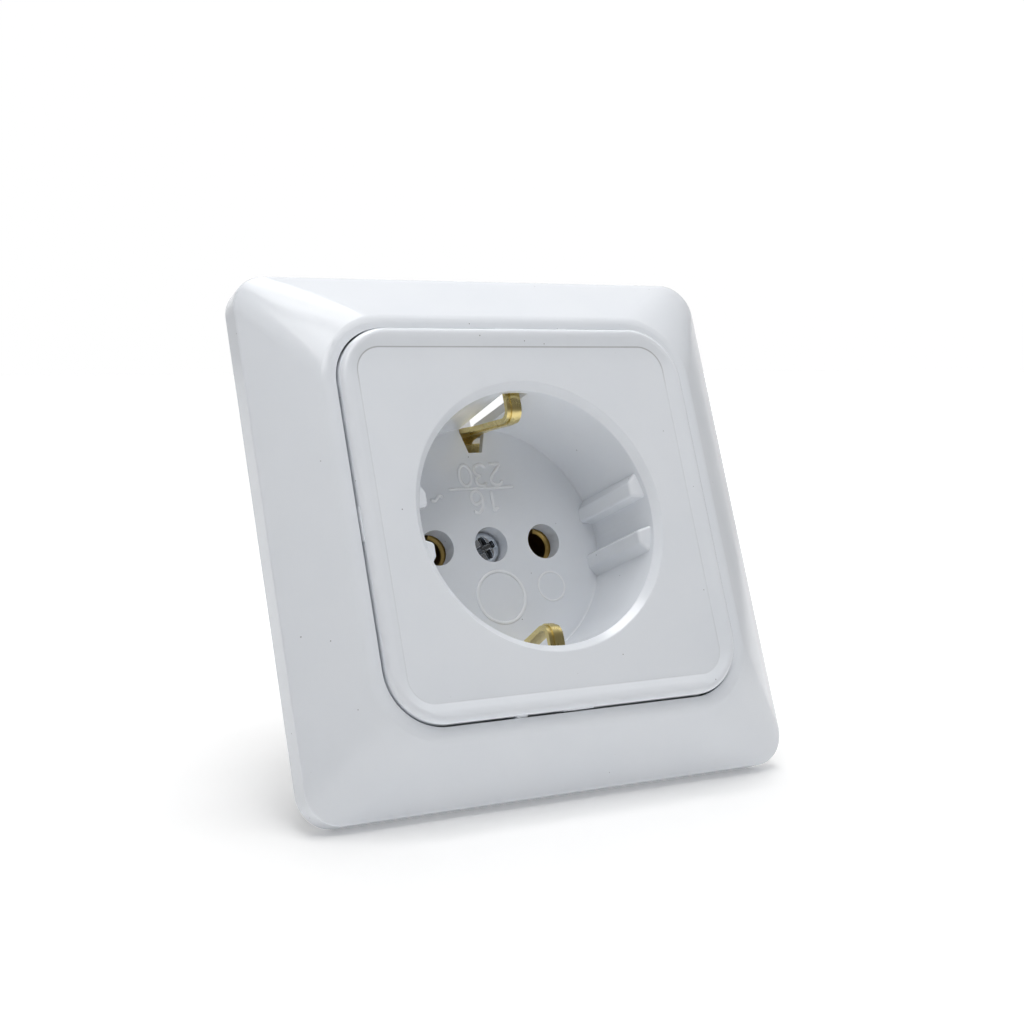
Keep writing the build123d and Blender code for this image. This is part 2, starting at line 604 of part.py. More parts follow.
# Base block: flange and collar round the well cup, contact chambers open to the back, shrouded terminals
chamber_outer_z = BASE_H / 2 - BASE_WALL
chamber_inner_z = earth_tab_z - CHANNEL_CLEAR
chamber_mid_z = (chamber_outer_z + chamber_inner_z) / 2
chamber_l = chamber_outer_z - chamber_inner_z
shroud_inner_z = chamber_inner_z - BASE_WALL
shroud_w = 2 * (pin_x + CHAMBER_W / 2 + BASE_WALL)
earth_shroud_w = CHAMBER_W + 2 * BASE_WALL
channel_w = CONTACT_W + 2 * CHANNEL_CLEAR
chamber_outer_l = BASE_H / 2 - terminal_z - CLAMP_SIZE / 2
base_top_z = clip_root_z + CLIP_T + BASE_TOP_EDGE
earth_block_front = nut_seat - BASE_WALL
with BuildPart() as base_block:
    with BuildSketch(at_depth(base_front)):
        RectangleRounded(BASE_W, BASE_H, BASE_R)
    extrude(amount=base_front - base_back)
    with BuildSketch(at_depth(base_front)):
        Circle(collar_out_r)
    extrude(amount=-FLANGE_T)
    with BuildSketch(at_depth(base_front)):
        Circle(collar_out_r)
        Circle(collar_in_r, mode=Mode.SUBTRACT)
        Rectangle(2 * collar_out_r, COLLAR_WINDOW, mode=Mode.SUBTRACT)
        Rectangle(CLIP_WINDOW, 2 * collar_out_r, mode=Mode.SUBTRACT)
        with PolarLocations(rivet_circle_r, 4, start_angle=45):
            Circle(RIVET_BOSS_R)
    extrude(amount=base_front)
    for shroud_z, width in ((-chamber_mid_z, shroud_w), (chamber_mid_z, earth_shroud_w)):
        with BuildSketch(at_depth(base_back)):
            RectangleRounded(BASE_W, BASE_H, BASE_R)
            with Locations((0, shroud_z)):
                Rectangle(width, chamber_l + 2 * BASE_WALL, mode=Mode.INTERSECT)
        extrude(amount=base_back - BASE_DEPTH)
    chamfer(base_block.faces().sort_by(Axis.Y)[-2:].edges(), SHROUD_EDGE)
    with BuildSketch(at_depth(base_back)):
        with Locations((0, base_top_z + BASE_R)):
            Rectangle(BASE_W, 2 * BASE_R)
            Rectangle(earth_shroud_w, 2 * BASE_R, mode=Mode.SUBTRACT)
    extrude(amount=base_back, mode=Mode.SUBTRACT)
    with BuildSketch(at_depth(earth_block_front)):
        with Locations((0, base_top_z + BASE_R)):
            Rectangle(earth_shroud_w, 2 * BASE_R)
    extrude(amount=earth_block_front, mode=Mode.SUBTRACT)
    with BuildSketch(at_depth(nut_seat)):
        with Locations((0, -chamber_mid_z)):
            with GridLocations(PIN_SPACING, 0, 2, 1):
                Rectangle(CHAMBER_W, chamber_l)
        with Locations((0, chamber_mid_z)):
            Rectangle(CHAMBER_W, chamber_l)
    extrude(amount=nut_seat - BASE_DEPTH, mode=Mode.SUBTRACT)
    with BuildSketch(at_depth(strip_front)):
        with Locations((0, -(chamber_inner_z + CONTACT_HEAD_Z) / 2)):
            with GridLocations(PIN_SPACING, 0, 2, 1):
                Rectangle(channel_w, chamber_inner_z + CONTACT_HEAD_Z)
    extrude(amount=strip_front - base_back, mode=Mode.SUBTRACT)
    with BuildSketch(at_depth(base_front + FRONT_WALL_T)):
        with GridLocations(PIN_SPACING, 0, 2, 1):
            Rectangle(TULIP_CHAMBER_W, TULIP_CHAMBER_W)
    extrude(amount=base_front + FRONT_WALL_T - base_back, mode=Mode.SUBTRACT)
    with BuildSketch(at_depth(base_front)):
        with GridLocations(PIN_SPACING, 0, 2, 1):
            Circle(TULIP_R + TULIP_HOLE_CLEAR)
    extrude(amount=-FRONT_WALL_T, mode=Mode.SUBTRACT)
    with BuildSketch(at_depth(base_front)):
        with Locations((0, earth_tab_z + CONTACT_T / 2)):
            Rectangle(EARTH_TAB_W + 2 * CHANNEL_CLEAR, CONTACT_T + 2 * CHANNEL_CLEAR)
    extrude(amount=base_front - strip_front, mode=Mode.SUBTRACT)
    with BuildSketch(at_depth(base_front)):
        Circle(BUSH_R + HOLE_CLEAR)
    extrude(amount=base_front - base_back, mode=Mode.SUBTRACT)
    with BuildSketch(at_depth(base_front)):
        with GridLocations(0, 2 * strap_rivet_z, 1, 2):
            Circle(RIVET_R + THREAD_CLEAR)
    extrude(amount=-RIVET_L, mode=Mode.SUBTRACT)
    with BuildSketch(at_depth(0)):
        with PolarLocations(rivet_circle_r, 4, start_angle=45):
            Circle(RIVET_R + THREAD_CLEAR)
    extrude(amount=-RIVET_L - PLATE_T, mode=Mode.SUBTRACT)
    with BuildSketch(at_depth(nut_seat)):
        with Locations(*terminal_places.values()):
            Circle(TERMINAL_SCREW_R + HOLE_CLEAR)
    extrude(amount=2 * TERMINAL_SCREW_TIP, mode=Mode.SUBTRACT)
    with BuildSketch(Plane.XY.offset(-BASE_H / 2)):
        with Locations((-pin_x, wire_depth), (pin_x, wire_depth)):
            with GridLocations(groove_spacing, 0, 2, 1):
                Circle(WIRE_HOLE_R)
    extrude(amount=chamber_outer_l, mode=Mode.SUBTRACT)
    with BuildSketch(Plane.XY.offset(BASE_H / 2)):
        with Locations((0, wire_depth)):
            with GridLocations(groove_spacing, 0, 2, 1):
                Circle(WIRE_HOLE_R)
    extrude(amount=-chamber_outer_l, mode=Mode.SUBTRACT)
    with BuildSketch(at_depth(base_back)):
        with GridLocations(2 * cover_screw_x, 0, 2, 1):
            Circle(COVER_SCREW_R + THREAD_CLEAR)
    extrude(amount=COVER_SCREW_L, mode=Mode.SUBTRACT)
base_block.part.label = "base_block"

# Back cover: closes the contact chambers between the two shrouds, held by two screws
cover_back = base_back + COVER_T
with BuildPart() as back_cover:
    with BuildSketch(at_depth(base_back)):
        RectangleRounded(BASE_W - 2 * COVER_CLEAR, 2 * (shroud_inner_z - COVER_CLEAR), COVER_R)
        with GridLocations(2 * cover_screw_x, 0, 2, 1):
            Circle(COVER_SCREW_R + HOLE_CLEAR, mode=Mode.SUBTRACT)
    extrude(amount=-COVER_T)
back_cover.part.label = "back_cover"

with BuildPart() as cover_screws:
    with BuildSketch(at_depth(cover_back)):
        with GridLocations(2 * cover_screw_x, 0, 2, 1):
            Circle(COVER_HEAD_R)
    extrude(amount=-COVER_HEAD_H)
    chamfer(cover_screws.faces().sort_by(Axis.Y)[-2:].edges(), COVER_HEAD_EDGE)
    with BuildSketch(at_depth(cover_back + COVER_HEAD_H)):
        with GridLocations(2 * cover_screw_x, 0, 2, 1):
            Rectangle(2 * COVER_HEAD_R, COVER_SLOT_W)
    extrude(amount=COVER_HEAD_H / 2, mode=Mode.SUBTRACT)
    with BuildSketch(at_depth(cover_back)):
        with GridLocations(2 * cover_screw_x, 0, 2, 1):
            Circle(COVER_SCREW_R)
    extrude(amount=COVER_SCREW_L)
cover_screws.part.label = "cover_screws"

# Support plate: bored for the well cup, slotted for the box screws
with BuildPart() as support_plate:
    with BuildSketch(at_height(0)):
        RectangleRounded(support_size, support_size, PLATE_CORNER_R)
        Circle(cup_r + PLATE_BORE_CLEAR, mode=Mode.SUBTRACT)
        Rectangle(PLATE_NOTCH_W, 2 * PLATE_NOTCH_R, mode=Mode.SUBTRACT)
        with GridLocations(BOX_SCREW_SPACING, 0, 2, 1):
            SlotOverall(BOX_SLOT_L, 2 * BOX_SLOT_R, mode=Mode.SUBTRACT)
        with GridLocations(0, BOX_SCREW_SPACING, 1, 2):
            SlotOverall(BOX_SLOT_L, 2 * BOX_SLOT_R, mode=Mode.SUBTRACT)
        with GridLocations(corner_hole_pitch, corner_hole_pitch, 2, 2):
            Circle(CORNER_HOLE_R, mode=Mode.SUBTRACT)
        with PolarLocations(rivet_circle_r, 4, start_angle=45):
            Circle(RIVET_R + THREAD_CLEAR, mode=Mode.SUBTRACT)
    extrude(amount=PLATE_T)
support_plate.part.label = "support_plate"

# Rivets: four through the support plate into the collar bosses, two through the earth strap into the base
with BuildPart() as plate_rivets:
    with BuildSketch(at_height(PLATE_T)):
        with PolarLocations(rivet_circle_r, 4, start_angle=45):
            Circle(RIVET_HEAD_R)
    extrude(amount=RIVET_HEAD_H)
    chamfer(plate_rivets.faces().sort_by(Axis.Y)[:4].edges(), RIVET_HEAD_H / 2)
    with BuildSketch(at_height(PLATE_T)):
        with PolarLocations(rivet_circle_r, 4, start_angle=45):
            Circle(RIVET_R)
    extrude(amount=-RIVET_L)
plate_rivets.part.label = "plate_rivets"

with BuildPart() as strap_rivets:
    with BuildSketch(at_depth(bridge_depth)):
        with GridLocations(0, 2 * strap_rivet_z, 1, 2):
            Circle(RIVET_HEAD_R)
    extrude(amount=RIVET_HEAD_H)
    chamfer(strap_rivets.faces().sort_by(Axis.Y)[:2].edges(), RIVET_HEAD_H / 2)
    with BuildSketch(at_depth(bridge_depth)):
        with GridLocations(0, 2 * strap_rivet_z, 1, 2):
            Circle(RIVET_R)
    extrude(amount=-RIVET_L)
strap_rivets.part.label = "strap_rivets"

pieces = [outer_frame, centre_plate, centre_screw, earth_strap, screw_bush, base_block, support_plate]
pieces += [back_cover, cover_screws, plate_rivets, strap_rivets]
pieces += [*contacts.values(), *contact_rings.values(), *terminals]
os.makedirs("parts", exist_ok=True)
for piece in pieces:
    export_step(piece.part, f"parts/{piece.part.label}.step")
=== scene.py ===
# %% [markdown]
# # A flush wall socket, finished in Blender
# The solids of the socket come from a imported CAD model, which is the fixed frame of this scene: X to the
# right, Y into the wall, Z up, in metres, with the wall's face at Y = 0. Blender adds what a solid model
# lacks: the raised marks in the well, a screw with a real recess and thread, the finishes, the light and
# the camera.

import json
import math

import bpy
import numpy as np
from mathutils import Matrix, Vector


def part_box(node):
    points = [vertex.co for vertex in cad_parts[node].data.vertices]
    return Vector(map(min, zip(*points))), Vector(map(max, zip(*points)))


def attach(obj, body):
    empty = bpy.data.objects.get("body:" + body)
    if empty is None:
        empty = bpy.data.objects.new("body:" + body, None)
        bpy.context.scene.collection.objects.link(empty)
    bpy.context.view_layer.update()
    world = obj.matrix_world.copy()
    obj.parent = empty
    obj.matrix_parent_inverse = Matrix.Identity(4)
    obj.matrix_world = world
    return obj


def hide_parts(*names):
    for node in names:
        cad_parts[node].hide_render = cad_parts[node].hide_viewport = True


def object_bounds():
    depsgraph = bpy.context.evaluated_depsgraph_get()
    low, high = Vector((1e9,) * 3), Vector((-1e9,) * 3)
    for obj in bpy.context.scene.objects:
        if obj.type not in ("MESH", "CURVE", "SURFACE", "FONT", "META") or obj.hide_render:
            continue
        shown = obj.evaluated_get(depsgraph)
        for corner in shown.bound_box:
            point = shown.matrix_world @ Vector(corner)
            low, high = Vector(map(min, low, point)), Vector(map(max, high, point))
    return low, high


MM = 0.001

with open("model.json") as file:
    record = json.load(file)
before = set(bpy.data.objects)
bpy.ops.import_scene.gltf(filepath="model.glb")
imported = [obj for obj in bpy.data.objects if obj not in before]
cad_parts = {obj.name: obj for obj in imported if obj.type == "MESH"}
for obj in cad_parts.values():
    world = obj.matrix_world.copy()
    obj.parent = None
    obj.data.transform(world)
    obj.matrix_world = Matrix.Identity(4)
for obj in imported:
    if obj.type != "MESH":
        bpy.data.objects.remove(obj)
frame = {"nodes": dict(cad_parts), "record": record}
cad_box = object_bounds()
corners_mm = [tuple(round(c / MM, 2) for c in corner) for corner in cad_box]
print("CAD nodes:", len(frame["nodes"]), "box in mm:", corners_mm)

# %% [markdown]
# ## From a grid of points to a mesh
# Every new piece here is a surface: a function of two parameters, worked out as one array of points with
# rows and columns. A mesh wants a flat list of points and a list of faces. Modelling by hand in edit mode
# would do as well, but a grid keeps the shape and its formula in one place, and closing it round a row is
# only a matter of letting the last column meet the first.


# %% Helper: a grid closed round its columns
def ring_faces(rows, columns, start=0):
    """Faces between neighbouring rows of a grid whose columns go round and close.
    Corner (i, j) is number start + i * columns + j, and column j + 1 is taken round to 0."""
    i, j = np.meshgrid(np.arange(rows - 1), np.arange(columns), indexing="ij")
    j_next = (j + 1) % columns
    corners = [i * columns + j, i * columns + j_next, (i + 1) * columns + j_next, (i + 1) * columns + j]
    return start + np.stack(corners, axis=-1).reshape(-1, 4)


def pole_faces(row, pole):
    """A fan of triangles from one row of corner numbers to the pole's corner number."""
    return np.stack([row, np.roll(row, -1), np.full_like(row, pole)], axis=-1)


def capped_tube(grid):
    """Points and faces of a closed skin: the grid's rows joined round, and a fan to the mean of each end."""
    rows, columns, _ = grid.shape
    points = np.concatenate([grid.reshape(-1, 3), grid[:1].mean(axis=1), grid[-1:].mean(axis=1)])
    first, last = np.arange(columns), np.arange(columns) + (rows - 1) * columns
    fans = [pole_faces(first[::-1], rows * columns), pole_faces(last, rows * columns + 1)]
    return points, ring_faces(rows, columns), np.concatenate(fans)


def make_piece(name, skins):
    """Joins skins of (points, quads, triangles) into one smooth mesh object that rides on the socket."""
    points, faces, count = [], [], 0
    for skin_points, quads, triangles in skins:
        points.append(skin_points)
        faces += (quads + count).tolist() + (triangles + count).tolist()
        count += len(skin_points)
    mesh = bpy.data.meshes.new(name)
    mesh.from_pydata(np.concatenate(points), [], faces)
    mesh.shade_smooth()
    piece = bpy.data.objects.new(name, mesh)
    bpy.context.scene.collection.objects.link(piece)
    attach(piece, "root")
    print(name, "has", len(mesh.vertices), "points and", len(mesh.polygons), "faces")
    return piece


# %% [markdown]
# ## The raised marks on the floor of the well
# The floor of the well carries thin raised lines, cut as grooves into the mould: a plain ring, the round
# witness of an ejector pin, and a rating of plain numbers above and below a bar. The lines are about 0.6 mm
# wide and stand about 0.2 mm proud, with round shoulders. They could be bevelled curves or text, but a line
# carried as a half-ellipse along a path gives every mark the same soft shoulder. The numbers are strokes
# through a few points of each digit.

# %% Lines carried along a path
FLOOR_Y = 5.6 * MM
LINE_W = 0.58 * MM
LINE_H = 0.22 * MM
LINE_SINK = 0.06 * MM
LINE_END = 0.02
PROFILE_STEPS = 12
SPLINE_STEPS = 14


def spline(points, closed=False):
    """A smooth path through the points: between points 1 and 2 of each four in turn, the cubic
    0.5 * (2 b + (c - a) t + (2a - 5b + 4c - d) t^2 + (3b - a - 3c + d) t^3). An open path runs straight on
    at its ends; a closed one, whose last point is its first, takes its neighbours from the other end."""
    p = np.asarray(points, float)
    before, after = (p[-2:-1], p[1:2]) if closed else (2 * p[:1] - p[1:2], 2 * p[-1:] - p[-2:-1])
    p = np.concatenate([before, p, after])
    a, b, c, d = (p[k:len(p) - 3 + k, None] for k in range(4))
    t = np.linspace(0, 1, SPLINE_STEPS, endpoint=False)[None, :, None]
    square, cube = 2 * a - 5 * b + 4 * c - d, 3 * b - a - 3 * c + d
    curve = 0.5 * (2 * b + (c - a) * t + square * t**2 + cube * t**3)
    curve = curve.reshape(-1, 2)
    return curve if closed else np.concatenate([curve, p[-2:-1]])


def raised_line(path, closed=False, width=LINE_W, height=LINE_H):
    """A ridge on the well floor along a flat (x, z) path. Across the path it is an ellipse, half width by
    height, sunk a little into the floor: offset = w cos(v), rise = h sin(v). At open ends the ellipse shrinks
    as a circle's chord does, so that a line ends round."""
    path = np.asarray(path, float)
    if closed:
        along = np.roll(path, -1, axis=0) - np.roll(path, 1, axis=0)
        size = np.ones(len(path))
    else:
        along = np.gradient(path, axis=0)
        run = np.concatenate([[0], np.cumsum(np.linalg.norm(np.diff(path, axis=0), axis=1))])
        reach = np.minimum(run, run[-1] - run) / (width / 2)
        size = np.sqrt(np.clip(1 - (1 - np.clip(reach, 0, 1)) ** 2, LINE_END, 1))
    along /= np.linalg.norm(along, axis=1, keepdims=True)
    across = np.stack([-along[:, 1], along[:, 0]], axis=1)
    v = np.linspace(0, 2 * np.pi, PROFILE_STEPS, endpoint=False)
    offset = np.cos(v)[None, :] * (width / 2) * size[:, None]
    rise = np.where(np.sin(v) > 0, height * np.sin(v), LINE_SINK * np.sin(v))[None, :] * size[:, None]
    flat = path[:, None, :] + offset[..., None] * across[:, None, :]
    grid = np.stack([flat[..., 0], FLOOR_Y - rise, flat[..., 1]], axis=-1)
    if closed:
        joined = np.concatenate([grid, grid[:1]])
        quads = ring_faces(*joined.shape[:2]) % (grid.shape[0] * grid.shape[1])
        return grid.reshape(-1, 3), quads, np.zeros((0, 3), int)
    return capped_tube(grid)


def circle_path(centre, radius, steps=96):
    """Points on a circle: centre + radius (cos a, sin a)."""
    a = np.linspace(0, 2 * np.pi, steps, endpoint=False)
    return np.stack([centre[0] + radius * np.cos(a), centre[1] + radius * np.sin(a)], axis=1)


# %% The digits, as strokes in a box one unit high
DIGIT_STROKES = {
    "0": [[(.30, .0), (.08, .16), (.0, .5), (.08, .84), (.30, 1),
           (.52, .84), (.60, .5), (.52, .16), (.30, .0)]],
    "1": [[(.05, .78), (.18, .86), (.30, 1)], [(.30, 1), (.30, .5), (.30, 0)]],
    "2": [[(.03, .76), (.10, .93), (.30, 1), (.50, .93), (.57, .74), (.47, .52), (.24, .27), (.0, .0)],
          [(.0, .0), (.30, .0), (.60, .0)]],
    "3": [[(.03, .85), (.14, .97), (.30, 1), (.49, .94), (.55, .77), (.47, .60), (.27, .54)],
          [(.27, .54), (.49, .46), (.58, .28), (.50, .08), (.28, 0), (.10, .05), (.0, .18)]],
    "6": [[(.53, .88), (.40, .99), (.24, .98), (.08, .78), (.02, .44), (.06, .16), (.20, .02), (.36, .0),
           (.52, .10), (.58, .30), (.52, .50), (.36, .60), (.18, .54), (.05, .38)]],
}
DIGIT_H = 3.5 * MM
DIGIT_W = 0.6 * DIGIT_H
DIGIT_PITCH = 2.75 * MM


def number_lines(text, middle):
    """The strokes of a number, centred on (x, z). The rating stands upside down on this socket, so both
    directions of each stroke are turned round: x = middle - u, z = middle - v."""
    lines = []
    width = DIGIT_PITCH * (len(text) - 1) + DIGIT_W
    for place, digit in enumerate(text):
        for stroke in DIGIT_STROKES[digit]:
            loop = stroke[0] == stroke[-1]
            flat = spline(stroke, loop) * DIGIT_H + (place * DIGIT_PITCH - width / 2, -DIGIT_H / 2)
            lines.append(raised_line(np.asarray(middle) - flat, loop))
    return lines


# %% All marks in one piece
RING_MIDDLE, RING_R = (0.2 * MM, -8.5 * MM), 4.15 * MM
WITNESS_MIDDLE, WITNESS_R = (9.45 * MM, -7.4 * MM), 2.35 * MM
WITNESS_W, WITNESS_H = 0.36 * MM, 0.1 * MM
BAR_HALF_L, BAR_Z, BAR_W = 5.9 * MM, 9.25 * MM, 0.5 * MM
WAVE_X, WAVE_Z, WAVE_HALF_L, WAVE_RISE = -8.1 * MM, 7.9 * MM, 1.1 * MM, 0.42 * MM
UPPER_NUMBER, LOWER_NUMBER = (0.2 * MM, 11.4 * MM), (0.2 * MM, 7.0 * MM)

bar_x = np.linspace(-BAR_HALF_L, BAR_HALF_L, 60)
wave_s = np.linspace(-1, 1, 40)
bar = np.stack([bar_x, np.full_like(bar_x, BAR_Z)], axis=1)
wave = np.stack([WAVE_X + WAVE_HALF_L * wave_s, WAVE_Z + WAVE_RISE * np.sin(np.pi * wave_s)], axis=1)
marks = [
    raised_line(circle_path(RING_MIDDLE, RING_R), closed=True),
    raised_line(circle_path(WITNESS_MIDDLE, WITNESS_R), closed=True, width=WITNESS_W, height=WITNESS_H),
    raised_line(bar, width=BAR_W),
    raised_line(wave),
    *number_lines("230", UPPER_NUMBER),
    *number_lines("16", LOWER_NUMBER),
]
well_marks = make_piece("well_marks", marks)

# %% [markdown]
# ## The centre screw
# A plated pan-head screw sits at the bottom of its own recess in the well floor and holds the centre plate.
# In the photo its head is the most contrasty spot of the whole socket, because the steep walls of the cross
# recess mirror both the dark room and the bright sky. The CAD screw has a plain box-shaped cross, so a
# finer screw replaces it: one skin from the middle of the head over the rim, along the thread to the tip,
# as a polar grid whose depth is a function of radius and angle. A boolean cut would give the same walls,
# but not their rounded edges.

# %% The head and thread as one polar grid
SCREW_TOP = 7.6 * MM
HEAD_R = 2.6 * MM
HEAD_H = 1.9 * MM
HEAD_ROUND = 0.8 * MM
HEAD_DOME = 0.16 * MM
CROSS_HALF_L = 1.95 * MM
CROSS_HALF_W = 0.46 * MM
CROSS_DEPTH = 1.35 * MM
CROSS_TURN = math.radians(22)
WALL_SLOPE = 0.30 * MM
END_SLOPE = 1.6 * WALL_SLOPE
CROSS_END_DEPTH = 0.62
SHANK_R = 1.5 * MM
SHANK_L = 11.0 * MM
THREAD_PITCH = 0.5 * MM
THREAD_DEPTH = 0.28 * MM
THREAD_START, THREAD_RUN_IN = 0.8 * MM, 0.6 * MM
TIP_L, TIP_NARROWING = 0.9 * MM, 0.3
HEAD_EDGE = 0.06 * MM
SCREW_COLUMNS = 240


def smooth_step(x):
    """The curve 3 x^2 - 2 x^3 between 0 and 1, flat outside."""
    x = np.clip(x, 0, 1)
    return x * x * (3 - 2 * x)


def head_depth(x, z):
    """Depth of the head's face below its top at a place (x, z) from the axis.
    A shallow dome, a quarter-circle at the rim, and a cross whose arms narrow towards their floor:
    the recess is CROSS_DEPTH times a step across the arm and a step at the end of the arm, and it grows
    from CROSS_END_DEPTH of its depth at the arm's end to the whole depth in the middle."""
    radius = np.hypot(x, z)
    past = np.clip(radius - (HEAD_R - HEAD_ROUND), 0, HEAD_ROUND)
    face = HEAD_DOME * (radius / HEAD_R) ** 2
    face = face + (1 - HEAD_DOME / HEAD_ROUND) * (HEAD_ROUND - np.sqrt(HEAD_ROUND**2 - past**2))
    u = np.abs(x * math.cos(CROSS_TURN) + z * math.sin(CROSS_TURN))
    w = np.abs(z * math.cos(CROSS_TURN) - x * math.sin(CROSS_TURN))
    across, along = np.minimum(u, w), np.maximum(u, w)
    wall = smooth_step((CROSS_HALF_W + WALL_SLOPE / 2 - across) / WALL_SLOPE)
    end = smooth_step((CROSS_HALF_L - along) / END_SLOPE)
    deepening = CROSS_END_DEPTH + (1 - CROSS_END_DEPTH) * (1 - along / CROSS_HALF_L)
    return face + CROSS_DEPTH * wall * end * np.clip(deepening, 0, 1)


turn = np.linspace(0, -2 * np.pi, SCREW_COLUMNS, endpoint=False)[None, :]
face_r = np.concatenate([np.linspace(0.02, 0.68, 84), np.linspace(0.69, 1.0, 30)])[:, None] * HEAD_R
face_x, face_z = face_r * np.cos(turn), face_r * np.sin(turn)
face = np.stack([face_x, SCREW_TOP + head_depth(face_x, face_z), face_z], axis=-1)
recess_mm = (face[..., 1].max() - SCREW_TOP) / MM
print("the head has", len(face), "rows, and its recess is", round(recess_mm, 2), "mm deep")

# %% [markdown]
# The side of the head, its underside, the thread and a short blunt tip follow as rows of radius and depth.
# The rows go round with the angle falling, so that the faces of the closed skin point outwards. A thread is
# a radius that rises and falls once for each pitch along the shank, and the angle shifts it, which turns
# the rings into a helix.

# %% Underside, thread and tip
seat = SCREW_TOP + HEAD_H
under_r = np.array([1.0, 0.99, 0.9, 0.6])[:, None] * HEAD_R + 0 * turn
under_d = np.array([seat - HEAD_EDGE, seat, seat, seat])[:, None] + 0 * turn
shank_t = np.linspace(0.02, 0.985, 250)[:, None] * SHANK_L
crest = np.abs(2 * ((shank_t / THREAD_PITCH - turn / (2 * np.pi)) % 1) - 1)
fade = smooth_step((shank_t - THREAD_START) / THREAD_RUN_IN)
shank_r = SHANK_R - THREAD_DEPTH * fade * crest
shank_r = shank_r * (1 - TIP_NARROWING * smooth_step((shank_t - SHANK_L + TIP_L) / TIP_L))
tip_r = np.array([0.62, 0.45])[:, None] * SHANK_R + 0 * turn
tip_d = seat + np.array([0.995, 1.0])[:, None] * SHANK_L + 0 * turn
rest_r = np.concatenate([under_r, shank_r, tip_r])
rest_d = np.concatenate([under_d, seat + shank_t + 0 * turn, tip_d])
rest = np.stack([rest_r * np.cos(turn), rest_d, rest_r * np.sin(turn)], axis=-1)
screw = make_piece("plated_screw", [capped_tube(np.concatenate([face, rest]))])
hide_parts("centre_screw")

# %% [markdown]
# ## Shader maths as Python
# A finish is a small calculation on the place of a point: how far from the edge, which grain, how worn.
# Written as nodes by hand this takes a page for a line of maths, so one class wraps a socket, and
# arithmetic on it adds the Math nodes. Everything else (noise, cells, mixes of colour) comes from its one
# method node().


# %% A value in a shader
class Value:
    """A node's output. Arithmetic adds Math nodes, and node() adds a node of any other kind."""

    def __init__(self, tree, socket=None):
        self.tree, self.socket = tree, socket

    def node(self, kind, settings=None, inputs=None, output=0):
        """Adds a node: first its settings, then a number, a colour or another Value for each input socket."""
        made = self.tree.nodes.new("ShaderNode" + kind)
        for name, setting in (settings or {}).items():
            setattr(made, name, setting)
        for name, given in (inputs or {}).items():
            if isinstance(given, Value):
                self.tree.links.new(given.socket, made.inputs[name])
            else:
                made.inputs[name].default_value = given
        return Value(self.tree, made.outputs[output] if made.outputs else None)

    def math(self, operation, first, second):
        return self.node("Math", {"operation": operation}, {0: first, 1: second})

    def __add__(self, other):
        return self.math("ADD", self, other)

    def __radd__(self, other):
        return self.math("ADD", other, self)

    def __sub__(self, other):
        return self.math("SUBTRACT", self, other)

    def __rsub__(self, other):
        return self.math("SUBTRACT", other, self)

    def __mul__(self, other):
        return self.math("MULTIPLY", self, other)

    def __rmul__(self, other):
        return self.math("MULTIPLY", other, self)

    def __abs__(self):
        return self.node("Math", {"operation": "ABSOLUTE"}, {0: self})

    def most(self, other):
        return self.math("MAXIMUM", self, other)

    def least(self, other):
        return self.math("MINIMUM", self, other)

    def root(self):
        return self.node("Math", {"operation": "SQRT"}, {0: self})

    def rise(self, low, high, to_low=0.0, to_high=1.0):
        """A smooth step: to_low below low, to_high above high."""
        places = {0: self, 1: low, 2: high, 3: to_low, 4: to_high}
        return self.node("MapRange", {"interpolation_type": "SMOOTHSTEP"}, places)

    def colour(self, at_zero, at_one):
        """A mix of two colours with this value as the factor."""
        return self.node("Mix", {"data_type": "RGBA"}, {0: self, 6: at_zero, 7: at_one}, output=2)

    def parts(self):
        """The three numbers of a vector."""
        split = self.node("SeparateXYZ", None, {0: self})
        return [Value(self.tree, socket) for socket in split.socket.node.outputs]

    def noise(self, size, detail=3.0, roughness=0.5):
        """Smooth noise from 0 to 1, with features of about this size in metres."""
        places = {"Vector": self, "Scale": 1 / size, "Detail": detail, "Roughness": roughness}
        return self.node("TexNoise", None, places)

    def stretched(self, scale):
        """These coordinates, multiplied along each axis."""
        return self.node("Mapping", None, {"Vector": self, "Scale": scale})


# %% Starting and closing a finish
def start_finish(name):
    """A new material, with its Object coordinates as a Value and its shader node."""
    material = bpy.data.materials.new(name)
    material.use_nodes = True
    tree = material.node_tree
    shader = tree.nodes["Principled BSDF"]
    place = Value(tree).node("TexCoord", output="Object")
    return material, place, shader


def feed(shader, **sockets):
    """Links Values to the shader's sockets and sets plain numbers and colours on them."""
    for name, given in sockets.items():
        socket = shader.inputs[name.replace("_", " ")]
        if isinstance(given, Value):
            given.tree.links.new(given.socket, socket)
        else:
            socket.default_value = given


def bump(height, distance):
    """A normal tilted by a height from 0 to 1 that stands for this many metres."""
    return height.node("Bump", None, {"Height": height, "Distance": distance, "Strength": 1.0})


def grey(level, blue=1.0):
    """A nearly white colour, slightly blue when blue is above 1."""
    return (level, level * (1 + (blue - 1) / 2), level * blue, 1)
